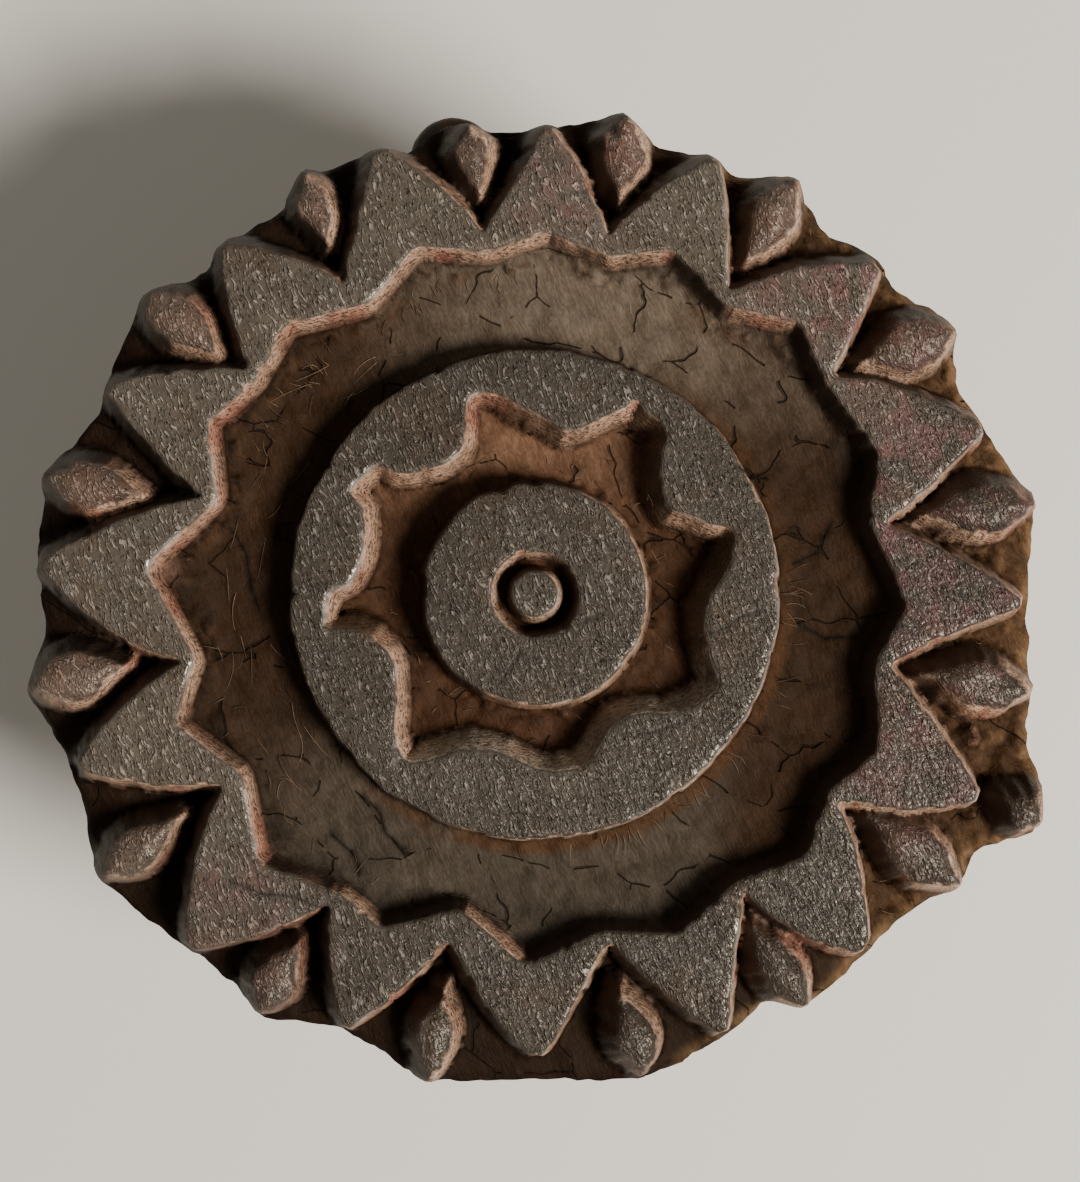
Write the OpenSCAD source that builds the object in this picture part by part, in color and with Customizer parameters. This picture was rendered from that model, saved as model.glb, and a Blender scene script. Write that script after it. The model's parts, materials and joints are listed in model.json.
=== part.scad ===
// Hand-carved round butter stamp with a turned handle, shown standing on its handle, print up.
// Units are millimetres. +Z points out of the carved print, z = 0 is the flat foot of the handle.
// +Y points to the side that carries the hanging eye.

/* [Print disc] */
// Height of the carved print face above the handle foot
face_z = 82; // [78:1:90]
// Thickness of the hewn rim plate that carries the carving, below the rim gaps
rim_plate_t = 4.5; // [3:0.5:5.5]
// Radius of the tapered body just under the rim plate
body_top_r = 44.5; // [43:0.5:45]
// Radius of the tapered body where it meets the boss
body_low_r = 37; // [30:1:40]
// Radius of the boss round the handle socket
boss_r = 19; // [17:0.5:22]

/* [Carving] */
// Depth of the ring-shaped valley between the ring and the petals
valley_depth = 5.5; // [4:0.5:6]
// Depth of the star-shaped recess inside the ring
star_depth = 6.5; // [4:0.5:7]
// Depth of the gaps between the petals at the rim
rim_gap_depth = 7.5; // [7:0.5:8]
// Depth of the groove round the centre dot
dot_groove_depth = 5; // [3:0.5:6]
// Outer radius of the flat ring
ring_r = 24.5; // [23.5:0.5:26]
// Radius of the round land inside the star recess
land_r = 11.2; // [10:0.1:12]
// Outer radius of the groove round the centre dot
dot_groove_r = 4.3; // [3.5:0.1:5]
// Radius of the centre dot
dot_r = 2.4; // [1.5:0.1:3]
// How far the small leaves stay below the print face, worn down
leaf_drop = 0.3; // [0:0.1:1]

/* [Handle] */
// Radius of the handle foot
foot_r = 21; // [18:0.5:24]
// Radius of the handle at its slimmest place
neck_r = 9.5; // [8:0.5:12]
// Radius of the handle shoulder that meets the boss
shoulder_r = 15.5; // [14:0.5:17]
// Height of the handle shoulder above the foot
shoulder_z = 49; // [46:1:52]
// Radius of the round tenon
tenon_r = 8; // [7:0.5:9]
// Length of the round tenon
tenon_len = 19; // [16:1:20]
// Radius of the wooden cross peg
peg_r = 2.25; // [2:0.25:2.5]

/* [Hanging eye] */
// Radius of the wire of the screw eye
wire_r = 1.05; // [0.9:0.05:1.2]
// Radius of the eye, from its centre to the middle of the wire
eye_r = 3.65; // [3.2:0.05:4.2]
// Distance of the eye centre from the axis of the print
eye_out = 47.4; // [46.5:0.1:49]
// Direction of the eye, counted from +X towards +Y
eye_dir = 100.4; // [98:0.1:104]
// Depth of the eye centre below the print face
eye_drop = 20; // [19:0.5:21]
// Length of the shank inside the wood
shank_len = 15; // [10:1:20]
// Radial clearance of the shank in its hole
shank_gap = 0.05; // [0.02:0.01:0.1]

/* [Hidden] */
$fn = 96;
rim_z = face_z - rim_gap_depth;
plate_z = rim_z - rim_plate_t;
boss_top_z = plate_z - 12;
socket_len = tenon_len + 0.5;
peg_z = shoulder_z + 4.5;
eye_z = face_z - eye_drop;
// radius of the tapered body at the height of the eye
wall_at_eye = body_low_r + (body_top_r - body_low_r) * (eye_z - boss_top_z) / 12;

// Petals, counter-clockwise: tip angle, tip radius, bulge of the near flank, bulge of the far
// flank, then the angle and radius of the foot of the gap that follows.
petals = [
    [20.0, 48.5, 0.2, 1.2, 36.1, 37.1], [43.5, 48.2, 0.0, 1.3, 57.4, 35.9],
    [67.3, 47.9, 0.3, 0.8, 78.4, 36.4], [88.4, 47.4, 0.6, 0.0, 98.2, 36.3],
    [109.6, 47.7, 1.2, 0.2, 121.6, 36.3], [131.5, 47.3, 0.9, 0.7, 142.1, 36.4],
    [154.5, 47.9, 0.9, 0.5, 163.8, 34.5], [176.7, 50.1, 1.1, 1.5, 190.8, 35.8],
    [201.0, 49.2, 1.2, 0.7, 211.6, 36.4], [225.7, 49.7, 1.3, 0.8, 236.4, 37.1],
    [246.5, 47.6, 0.6, 0.6, 256.2, 35.6], [270.6, 46.8, 1.0, 0.0, 282.2, 35.6],
    [293.4, 48.4, 0.6, 0.0, 305.2, 36.0], [313.0, 49.1, 1.5, 0.9, 325.5, 36.6],
    [335.4, 49.5, 0.9, 0.5, 348.7, 36.2], [358.7, 49.6, -0.3, 0.8, 371.3, 35.8]
];

// Inner edge of the petal band: angle and radius of each corner of the zigzag.
zigzag = [
    [22.3, 37.2], [35.2, 36.0], [45.5, 38.1], [55.9, 34.7], [68.1, 37.2], [77.7, 34.6],
    [88.1, 36.5], [98.0, 34.7], [109.0, 36.8], [120.4, 33.6], [132.8, 36.7], [142.6, 35.3],
    [152.0, 37.0], [163.4, 33.3], [176.2, 39.1], [190.8, 34.7], [199.5, 38.3], [211.3, 34.4],
    [224.4, 38.5], [236.0, 35.7], [245.1, 36.6], [256.5, 32.4], [268.5, 37.1], [281.0, 34.4],
    [292.8, 37.0], [305.0, 34.9], [315.9, 37.6], [327.0, 35.4], [335.2, 37.9], [349.0, 34.7],
    [358.3, 37.3], [371.6, 34.3]
];

// Small leaves in the gaps: angle and radius of the inner tip, of the outer end, and the width.
leaves = [
    [35.6, 39.9, 31.8, 50.4, 5.4], [57.6, 39.3, 57.6, 49.6, 5.0], [77.8, 40.2, 79.0, 49.4, 4.6],
    [97.8, 40.4, 98.0, 48.1, 4.2], [120.6, 40.8, 118.6, 48.5, 3.8], [143.0, 39.8, 142.0, 49.6, 5.2],
    [166.0, 40.3, 166.6, 50.7, 5.4], [189.8, 41.4, 190.6, 51.6, 5.6], [212.2, 42.0, 213.2, 52.0, 4.6],
    [235.8, 41.8, 236.6, 50.4, 4.8], [257.1, 40.2, 257.9, 50.0, 4.2], [282.0, 40.4, 283.0, 49.6, 4.8],
    [303.2, 39.4, 303.3, 49.8, 5.0], [326.4, 39.8, 325.6, 52.2, 5.4], [348.2, 39.2, 348.8, 51.4, 5.6],
    [11.6, 39.2, 10.2, 51.6, 5.6]
];
// One extra bead stands beyond the tip of the fifteenth petal.
bead = [336.6, 51.6, 335.8, 56.2, 4.4];

// Corners of the star recess, x and y.
star = [
    [-6.7, 19.7], [-5.3, 20.3], [-3.4, 20.1], [0.7, 17.7], [3.5, 16.2], [8.0, 18.4], [10.3, 19.3],
    [11.0, 18.3], [12.9, 17.1], [13.4, 15.8], [12.6, 13.7], [12.7, 11.2], [13.4, 8.4], [15.4, 7.9],
    [17.3, 7.1], [19.6, 6.8], [20.1, 5.6], [19.6, 3.2], [17.2, -0.8], [16.8, -3.6], [17.5, -6.5],
    [18.6, -9.2], [15.9, -11.4], [13.4, -12.1], [11.0, -11.9], [8.5, -12.5], [7.2, -14.2],
    [5.5, -17.3], [1.1, -18.0], [-3.9, -15.7], [-6.7, -15.3], [-10.6, -16.7], [-12.9, -17.0],
    [-14.1, -14.9], [-13.8, -10.7], [-14.1, -6.5], [-17.0, -3.8], [-21.2, -3.6], [-21.2, -1.5],
    [-20.5, 0.3], [-18.4, 1.2], [-17.2, 3.8], [-16.8, 6.6], [-17.3, 8.8], [-18.7, 10.5],
    [-15.9, 13.1], [-14.3, 12.3], [-12.4, 12.1], [-8.5, 13.3], [-7.1, 14.6], [-7.0, 17.2]
];

// Hewn outline of the rim plate: angle and radius of each corner.
rim = [
    [4, 50.9], [11, 52.3], [20, 49.3], [26, 48.7], [34, 51.2], [40, 48.6], [45, 49.8], [51, 48.0],
    [58, 50.2], [65, 48.0], [68, 48.8], [75, 47.8], [80, 50.3], [88, 48.1], [95, 47.8],
    [101, 49.0], [106, 47.5], [110, 48.6], [119, 49.4], [123, 47.4], [131, 48.2], [136, 47.5],
    [143, 50.7], [154, 49.0], [157, 48.5], [167, 51.8], [176, 51.1], [184, 50.4], [191, 52.7],
    [202, 50.6], [213, 53.5], [225, 50.7], [233, 50.2], [238, 51.2], [246, 48.4], [257, 50.9],
    [270, 49.6], [283, 50.9], [293, 49.3], [300, 47.8], [304, 50.5], [313, 50.0], [320, 50.2],
    [326, 53.0], [330, 52.2], [335, 56.8], [340, 55.3], [343, 52.9], [348, 52.1], [355, 50.8]
];

wood_top = [0.36, 0.33, 0.30];
wood_handle = [0.40, 0.30, 0.22];
wood_peg = [0.50, 0.38, 0.26];
wire_steel = [0.38, 0.39, 0.37];

function polar(a, r) = [r * cos(a), r * sin(a)];
function unit(v) = v / norm(v);
// Point at share t of a bowed edge from p to q that bulges by b to the right of its direction.
function bow(p, q, b, t) =
    p + (q - p) * t + [unit(q - p)[1], -unit(q - p)[0]] * (4 * b * t * (1 - t));
// Corners of one petal's two flanks, from the gap before it to its blunt tip and on.
function petal_edge(i) =
    let (before = petals[(i + 15) % 16], p = petals[i],
         g0 = polar(before[4], before[5]), g1 = polar(p[4], p[5]), tip = polar(p[0], p[1]))
    concat(
        [for (t = [0, 0.25, 0.5, 0.75, 0.94]) bow(g0, tip, p[2], t)],
        [for (t = [0.06, 0.25, 0.5, 0.75]) bow(tip, g1, p[3], t)]
    );
// Outline of one leaf: pointed inside, widest past the middle, blunt outside.
function leaf_side(p, q, w, s) =
    [for (t = [0.12, 0.3, 0.5, 0.7, 0.88]) p + (q - p) * t
        + [-unit(q - p)[1], unit(q - p)[0]] * (s * w * 0.5 * sin(180 * pow(t, 1.25)))];
function leaf_edge(l) =
    let (p = polar(l[0], l[1]), q = polar(l[2], l[3]))
    concat([p], leaf_side(p, q, l[4], -1), [q], [for (i = [4 : -1 : 0]) leaf_side(p, q, l[4], 1)[i]]);

module petal_outline() polygon([for (i = [0 : 15]) each petal_edge(i)]);
module zigzag_outline() polygon([for (c = zigzag) polar(c[0], c[1])]);
module rim_outline() polygon([for (c = rim) polar(c[0], c[1])]);

module eye_axis() {
    rotate([0, 0, eye_dir])
        translate([eye_out, 0, eye_z])
            children();
}

module relief() {
    // petal band
    translate([0, 0, rim_z - 1])
        linear_extrude(rim_gap_depth + 1)
            difference() {
                petal_outline();
                zigzag_outline();
            }
    // valley floor
    translate([0, 0, rim_z - 1])
        linear_extrude(rim_gap_depth + 1 - valley_depth)
            petal_outline();
    // small leaves and the extra bead
    for (l = concat(leaves, [bead]))
        translate([0, 0, rim_z - 1])
            linear_extrude(rim_gap_depth + 1 - leaf_drop)
                polygon(leaf_edge(l));
    // ring with its star recess
    translate([0, 0, face_z - valley_depth - 1])
        linear_extrude(valley_depth + 1)
            difference() {
                circle(r = ring_r);
                polygon(star);
            }
    // land with the groove and the centre dot
    translate([0, 0, face_z - star_depth - 1])
        difference() {
            cylinder(r = land_r, h = star_depth + 1);
            translate([0, 0, star_depth + 1 - dot_groove_depth])
                difference() {
                    cylinder(r = dot_groove_r, h = dot_groove_depth + 1);
                    translate([0, 0, -1])
                        cylinder(r = dot_r, h = dot_groove_depth + 3);
                }
        }
}

module print_disc() color(wood_top) {
    difference() {
        union() {
            // boss, tapered body and hewn rim plate
            translate([0, 0, shoulder_z])
                cylinder(r = boss_r, h = boss_top_z - shoulder_z + 1);
            translate([0, 0, boss_top_z])
                cylinder(r1 = body_low_r, r2 = body_top_r, h = 12);
            translate([0, 0, plate_z])
                linear_extrude(rim_plate_t)
                    rim_outline();
            difference() {
                relief();
                // the star recess is cut deeper than the valley floor
                translate([0, 0, face_z - star_depth])
                    linear_extrude(star_depth - valley_depth)
                        difference() {
                            polygon(star);
                            circle(r = land_r);
                        }
            }
        }
        // socket for the tenon
        translate([0, 0, shoulder_z - 1])
            cylinder(r = tenon_r, h = socket_len + 1);
        // hole for the cross peg, through boss and tenon
        translate([0, 0, peg_z])
            rotate([0, 90, 0])
                cylinder(r = peg_r, h = 2 * boss_r + 2, center = true);
        // hole for the shank of the hanging eye
        eye_axis()
            rotate([0, -90, 0])
                cylinder(r = wire_r + shank_gap, h = eye_out - wall_at_eye + shank_len + 0.5);
    }
}

module handle() color(wood_handle) {
    difference() {
        union() {
            rotate_extrude()
                polygon(concat(
                    [[0, 0], [foot_r - 1.5, 0], [foot_r, 1.5], [foot_r, 5], [foot_r - 1, 6.5]],
                    [for (t = [0.2 : 0.2 : 1])
                        [neck_r + (foot_r - 3 - neck_r) * pow(1 - t, 2), 7.5 + 12.5 * t]],
                    [for (t = [0.2 : 0.2 : 1])
                        [neck_r + (shoulder_r - 1 - neck_r) * (1 - cos(180 * t)) / 2, 20 + 24 * t]],
                    [[shoulder_r, 45.5], [shoulder_r, shoulder_z - 1],
                     [shoulder_r - 1, shoulder_z], [0, shoulder_z]]
                ));
            translate([0, 0, shoulder_z - 1])
                cylinder(r = tenon_r, h = tenon_len + 1);
        }
        translate([0, 0, peg_z])
            rotate([0, 90, 0])
                cylinder(r = peg_r, h = 2 * boss_r, center = true);
    }
}

module cross_peg() color(wood_peg) {
    translate([0, 0, peg_z])
        rotate([0, 90, 0])
            cylinder(r = peg_r, h = 2 * boss_r - 0.6, center = true);
}

module hanging_eye() color(wire_steel) {
    eye_axis() {
        rotate_extrude()
            translate([eye_r, 0])
                circle(r = wire_r);
        translate([-eye_r, 0, 0])
            rotate([0, -90, 0])
                cylinder(r = wire_r, h = eye_out - eye_r - wall_at_eye + shank_len);
    }
}

print_disc();
handle();
cross_peg();
hanging_eye();
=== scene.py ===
import bpy
import json
import math
import numpy as np
from mathutils import Matrix, Vector
from mathutils.kdtree import KDTree
from mathutils.geometry import delaunay_2d_cdt

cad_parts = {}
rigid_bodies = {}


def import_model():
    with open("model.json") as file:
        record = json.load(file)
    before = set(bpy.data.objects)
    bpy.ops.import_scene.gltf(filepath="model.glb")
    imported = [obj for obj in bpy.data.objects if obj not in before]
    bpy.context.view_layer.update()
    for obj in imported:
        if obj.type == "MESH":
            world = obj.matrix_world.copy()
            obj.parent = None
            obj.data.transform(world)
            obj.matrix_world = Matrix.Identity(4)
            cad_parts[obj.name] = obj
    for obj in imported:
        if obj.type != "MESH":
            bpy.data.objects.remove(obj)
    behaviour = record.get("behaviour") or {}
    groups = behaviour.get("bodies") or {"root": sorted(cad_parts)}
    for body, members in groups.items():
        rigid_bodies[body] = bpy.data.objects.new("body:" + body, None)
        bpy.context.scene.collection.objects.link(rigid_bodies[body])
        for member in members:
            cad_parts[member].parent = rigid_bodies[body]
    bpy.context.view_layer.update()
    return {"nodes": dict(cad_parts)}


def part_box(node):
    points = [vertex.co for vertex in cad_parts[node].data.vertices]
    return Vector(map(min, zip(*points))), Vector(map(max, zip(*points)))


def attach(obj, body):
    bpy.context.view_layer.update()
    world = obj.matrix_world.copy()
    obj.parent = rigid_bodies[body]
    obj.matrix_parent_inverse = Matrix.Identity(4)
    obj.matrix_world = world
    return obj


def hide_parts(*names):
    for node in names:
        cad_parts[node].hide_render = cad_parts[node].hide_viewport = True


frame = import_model()

MM = 0.001
RNG = np.random.default_rng(7)
disc_lo, disc_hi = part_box("print_disc")
FACE_Z = disc_hi.z / MM          # top of the carved face, mm
BOSS_Z = disc_lo.z / MM          # lowest plane of the boss, mm


# ---- noise and shape helpers
def lattice(ix, iy, iz, seed):
    """Repeatable random value 0..1 at whole-number lattice points."""
    h = (ix.astype(np.int64) * 374761393 + iy.astype(np.int64) * 668265263
         + iz.astype(np.int64) * 2147483647 + seed * 974634777) & 0xFFFFFFFF
    h = ((h ^ (h >> 13)) * 1274126177) & 0xFFFFFFFF
    h = ((h ^ (h >> 16)) * 2246822519) & 0xFFFFFFFF
    return ((h ^ (h >> 15)) & 0xFFFFFF) / float(0xFFFFFF)


def noise2(x, y, size, seed=0):
    """Smooth value noise, -1..1, with features of the given size."""
    u, v = np.asarray(x) / size, np.asarray(y) / size
    i, j = np.floor(u), np.floor(v)
    fu, fv = u - i, v - j
    fu, fv = fu * fu * (3 - 2 * fu), fv * fv * (3 - 2 * fv)
    z = np.zeros_like(i)
    a, b = lattice(i, j, z, seed), lattice(i + 1, j, z, seed)
    c, d = lattice(i, j + 1, z, seed), lattice(i + 1, j + 1, z, seed)
    return 2 * ((a * (1 - fu) + b * fu) * (1 - fv) + (c * (1 - fu) + d * fu) * fv) - 1


def fbm2(x, y, size, seed=0, octaves=3, gain=0.5):
    """Noise with finer noise on top, -1..1."""
    total, amp, norm = 0.0, 1.0, 0.0
    for o in range(octaves):
        total = total + amp * noise2(x, y, size / 2 ** o, seed + 17 * o)
        norm += amp
        amp *= gain
    return total / norm


def smin(a, b, k):
    """Smooth minimum; k is the width of the blend."""
    h = np.clip(0.5 + 0.5 * (b - a) / k, 0, 1)
    return b * (1 - h) + a * h - k * h * (1 - h)


def step(x, lo, hi):
    """Smooth rise from 0 at lo to 1 at hi."""
    t = np.clip((x - lo) / (hi - lo), 0, 1)
    return t * t * (3 - 2 * t)


def spread(n):
    """n angles, evenly spaced round a circle."""
    return np.arange(n) * 2 * math.pi / n


def mix(a, b, t):
    """Colours a and b blended row by row."""
    t = np.asarray(t)[:, None]
    return a * (1 - t) + b * t


# ---- outlines from the CAD disc
def open_edges(tris):
    """Edges that only one triangle has, in the order they are met."""
    seen = {}
    for t in tris:
        for a, b in ((t[0], t[1]), (t[1], t[2]), (t[2], t[0])):
            seen[int(a), int(b)] = True
    return [(a, b) for a, b in seen if (b, a) not in seen]


def plane_loops(obj, z_mm, tol=0.02):
    """Closed outlines of the flat faces that look up at one height, in mm."""
    me = obj.data
    me.calc_loop_triangles()
    co = np.zeros(len(me.vertices) * 3)
    me.vertices.foreach_get("co", co)
    co = co.reshape(-1, 3) / MM
    tri = np.zeros(len(me.loop_triangles) * 3, np.int64)
    me.loop_triangles.foreach_get("vertices", tri)
    tri = tri.reshape(-1, 3)
    key = {}
    index = np.zeros(len(co), np.int64)
    for n, p in enumerate(np.round(co, 3)):
        index[n] = key.setdefault(tuple(p), len(key))
    pts = np.zeros((len(key), 3))
    pts[index] = co
    flat = np.all(np.abs(co[tri][:, :, 2] - z_mm) < tol, axis=1)
    follow = {}
    for a, b in open_edges(index[tri[flat]]):
        follow.setdefault(a, []).append(b)
    loops = []
    while follow:
        start = next(iter(follow))
        path, here = [start], start
        while True:
            nxt = follow[here].pop()
            if not follow[here]:
                del follow[here]
            if nxt == start or nxt not in follow:
                break
            path.append(nxt)
            here = nxt
        if len(path) > 2:
            loops.append(pts[path][:, :2])
    return loops


def area(loop):
    x, y = loop[:, 0], loop[:, 1]
    return 0.5 * float(np.sum(x * np.roll(y, -1) - y * np.roll(x, -1)))


# ---- small tools for outlines
def soften(loop, cut):
    """Cuts the corners of an outline a little."""
    nxt = np.roll(loop, -1, axis=0)
    a = loop * (1 - cut) + nxt * cut
    b = loop * cut + nxt * (1 - cut)
    return np.stack([a, b], 1).reshape(-1, 2)


class Outline:
    """Distance and outward direction from a polygon, negative inside."""

    def __init__(self, loop, flip=False):
        self.a = loop
        self.b = np.roll(loop, -1, axis=0)
        self.flip = flip

    def __call__(self, p, chunk=6000):
        ab = self.b - self.a
        l2 = np.maximum((ab ** 2).sum(1), 1e-12)
        d_out, n_out = np.empty(len(p)), np.empty((len(p), 2))
        dy = np.where(np.abs(ab[:, 1]) < 1e-12, 1e-12, ab[:, 1])
        for s in range(0, len(p), chunk):
            q = p[s:s + chunk]
            qx, qy = q[:, 0][:, None], q[:, 1][:, None]
            ax, ay = qx - self.a[:, 0], qy - self.a[:, 1]
            t = np.clip((ax * ab[:, 0] + ay * ab[:, 1]) / l2, 0, 1)
            ex, ey = ax - t * ab[:, 0], ay - t * ab[:, 1]
            d2 = ex * ex + ey * ey
            k = d2.argmin(1)
            rows = np.arange(len(q))
            d = np.sqrt(d2[rows, k])
            up = (self.a[:, 1] <= qy) != (self.b[:, 1] <= qy)
            cross = self.a[:, 0] + (qy - self.a[:, 1]) / dy * ab[:, 0]
            inside = (up & (qx < cross)).sum(1) % 2 == 1
            sign = np.where(inside, -1.0, 1.0)
            n = np.stack([ex[rows, k], ey[rows, k]], 1) * sign[:, None]
            n = n / np.maximum(d, 1e-6)[:, None]
            d = d * sign
            if self.flip:
                d, n = -d, -n
            d_out[s:s + chunk], n_out[s:s + chunk] = d, n
        return d_out, n_out


class Circle:
    """The same for a round outline."""

    def __init__(self, loop, flip=False):
        self.c = loop.mean(0)
        self.r = np.hypot(*(loop - self.c).T).mean()
        self.flip = flip

    def __call__(self, p):
        v = p - self.c
        rr = np.maximum(np.hypot(v[:, 0], v[:, 1]), 1e-9)
        d, n = rr - self.r, v / rr[:, None]
        return (-d, -n) if self.flip else (d, n)


def thin_out(cands, radii):
    """Keeps points in the given order and drops any that crowd an earlier one."""
    tree = KDTree(len(cands))
    for i, p in enumerate(cands):
        tree.insert((p[0], p[1], 0.0), i)
    tree.balance()
    alive = np.ones(len(cands), bool)
    for i, p in enumerate(cands):
        if not alive[i]:
            continue
        for _, j, _ in tree.find_range((p[0], p[1], 0.0), radii[i]):
            if j > i:
                alive[j] = False
    return alive


def hex_grid(radius, pitch):
    """Evenly spaced points in a circle."""
    n = int(radius / pitch) + 2
    j, i = np.mgrid[-n:n + 1, -n:n + 1]
    x = (i + 0.5 * (j % 2)) * pitch
    y = j * pitch * math.sqrt(3) / 2
    p = np.stack([x.ravel(), y.ravel()], 1)
    return p[np.hypot(p[:, 0], p[:, 1]) < radius]


disc = frame["nodes"]["print_disc"]
# depths below the face, as in the CAD, mm: gaps round the leaves, valley, star, dot's groove,
# tops of the leaves, underside of the rim plate
RIM_GAP, VALLEY, STAR, GROOVE, LEAF_DROP, PLATE = 7.5, 5.5, 6.5, 5.0, 0.3, 12.0
peg_lo, peg_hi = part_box("cross_peg")
PEG_Z = 0.5 * (peg_lo.z + peg_hi.z) / MM
PEG_R = 0.5 * (peg_hi.z - peg_lo.z) / MM
PEG_END = peg_hi.x / MM

top_loops = sorted(plane_loops(disc, FACE_Z), key=lambda l: -abs(area(l)))
petal_loop, zigzag_loop, ring_loop, star_loop, land_loop, groove_loop, dot_loop = top_loops[:7]
leaf_loops = [l for l in plane_loops(disc, FACE_Z - LEAF_DROP) if abs(area(l)) > 4]
rim_loop = max(plane_loops(disc, FACE_Z - PLATE), key=lambda l: abs(area(l)))
if area(rim_loop) < 0:
    rim_loop = rim_loop[::-1]

petal = Outline(soften(petal_loop, 0.12))
zigzag = Outline(soften(zigzag_loop, 0.06), flip=True)
star = Outline(soften(star_loop, 0.2), flip=True)
ring, land, dot = Circle(ring_loop), Circle(land_loop), Circle(dot_loop)
groove = Circle(groove_loop, flip=True)
rim_line = soften(rim_loop, 0.1)
rim = Outline(rim_line)
leaves = [(Outline(soften(l, 0.2)), l.mean(0)) for l in leaf_loops]
OUTLINES = {"petal": petal, "zigzag": zigzag, "ring": ring, "star": star, "land": land,
            "groove": groove, "dot": dot}


class Line:
    """Distance from an open line."""

    def __init__(self, points):
        self.p = np.array(points, float)

    def __call__(self, q):
        best, bn = np.full(len(q), 99.0), np.zeros((len(q), 2))
        for a, b in zip(self.p[:-1], self.p[1:]):
            t = np.clip((q - a) @ (b - a) / ((b - a) @ (b - a)), 0, 1)
            e = q - a - t[:, None] * (b - a)
            dist = np.hypot(e[:, 0], e[:, 1])
            take = dist < best
            best[take] = dist[take]
            bn[take] = e[take] / np.maximum(dist[take], 1e-6)[:, None]
        return best, bn


# cracks that run across the wood: ring, land, one petal and the valley floor
cracks = [Line(c) for c in (
    [(-30.4, -28.7), (-27.2, -29.9), (-24.0, -30.2), (-20.6, -31.7)],
    [(17.5, -3.9), (19.2, -3.3), (20.4, -2.3), (22.3, -1.7)],
    [(10.2, -14.0), (12.0, -13.7), (14.4, -12.9)],
    [(4.4, -3.0), (5.6, -2.3), (6.9, -1.9)],
    [(-3.6, -9.0), (-2.6, -7.4), (-1.4, -5.6)],
    [(-17.6, -20.4), (-15.8, -22.0), (-15.2, -24.2), (-13.0, -26.2)],
    [(-20.6, -24.4), (-18.2, -26.6), (-17.8, -28.4)],
    [(-31.0, 6.8), (-29.4, 4.2), (-29.0, 1.0), (-28.0, -1.6)],
    [(20.0, 13.0), (21.6, 12.0), (23.6, 11.9)],
    [(27.0, -3.0), (29.6, -4.4), (32.6, -4.2)],
    [(26.4, 3.2), (28.8, 4.4), (30.2, 7.4)])]


def carve(d, n, depth, lean, worn, foot, side=0.0, toward=(-0.75, 0.66)):
    """Depth below the top at distance d outside an edge: a worn edge, a sloping wall, a fillet."""
    tan_a = lean + side * (n[:, 0] * toward[0] + n[:, 1] * toward[1])
    tan_a = np.maximum(tan_a, 0.06)
    dd = 0.5 * (d + np.sqrt(d * d + worn * worn))
    return -smin(dd / tan_a, depth, foot)


def wobble(x, y, seed):
    """Unevenness of a hand-cut edge, in mm."""
    chip = np.maximum(noise2(x, y, 1.6, seed + 5) - 0.55, 0)
    return (0.17 * noise2(x, y, 3.1, seed) + 0.11 * noise2(x, y, 1.1, seed + 1)
            + 0.05 * noise2(x, y, 0.55, seed + 2) + 0.8 * chip)


def leaf_field(p):
    """Distance and direction to the nearest leaf's top edge, which is worn back a little."""
    best, bn = np.full(len(p), 99.0), np.zeros((len(p), 2))
    bn[:, 0] = 1
    for outline, c in leaves:
        near = np.hypot(p[:, 0] - c[0], p[:, 1] - c[1]) < 11
        if not near.any():
            continue
        d, n = outline(p[near])
        take = d < best[near]
        rows = np.nonzero(near)[0][take]
        best[rows], bn[rows] = d[take], n[take]
    return best + 0.15, bn


LIGHT_AZ = math.radians(-28)     # direction the light comes from
LIT = np.array([math.cos(LIGHT_AZ), math.sin(LIGHT_AZ)])
GRAIN = math.radians(-66)        # direction of the wood's grain on the face
RING_ZONE = 22.9                 # radius that holds the ring's top, the star and the land, mm
LAND_ZONE = 7.7                  # radius that holds the land's top, the groove and the dot, mm
RIM_ZONE = 48                    # beyond this radius lies only the torn rim, mm
gc, gs = math.cos(GRAIN), math.sin(GRAIN)


def along_grain(x, y):
    return x * gc + y * gs, -x * gs + y * gc


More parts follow.
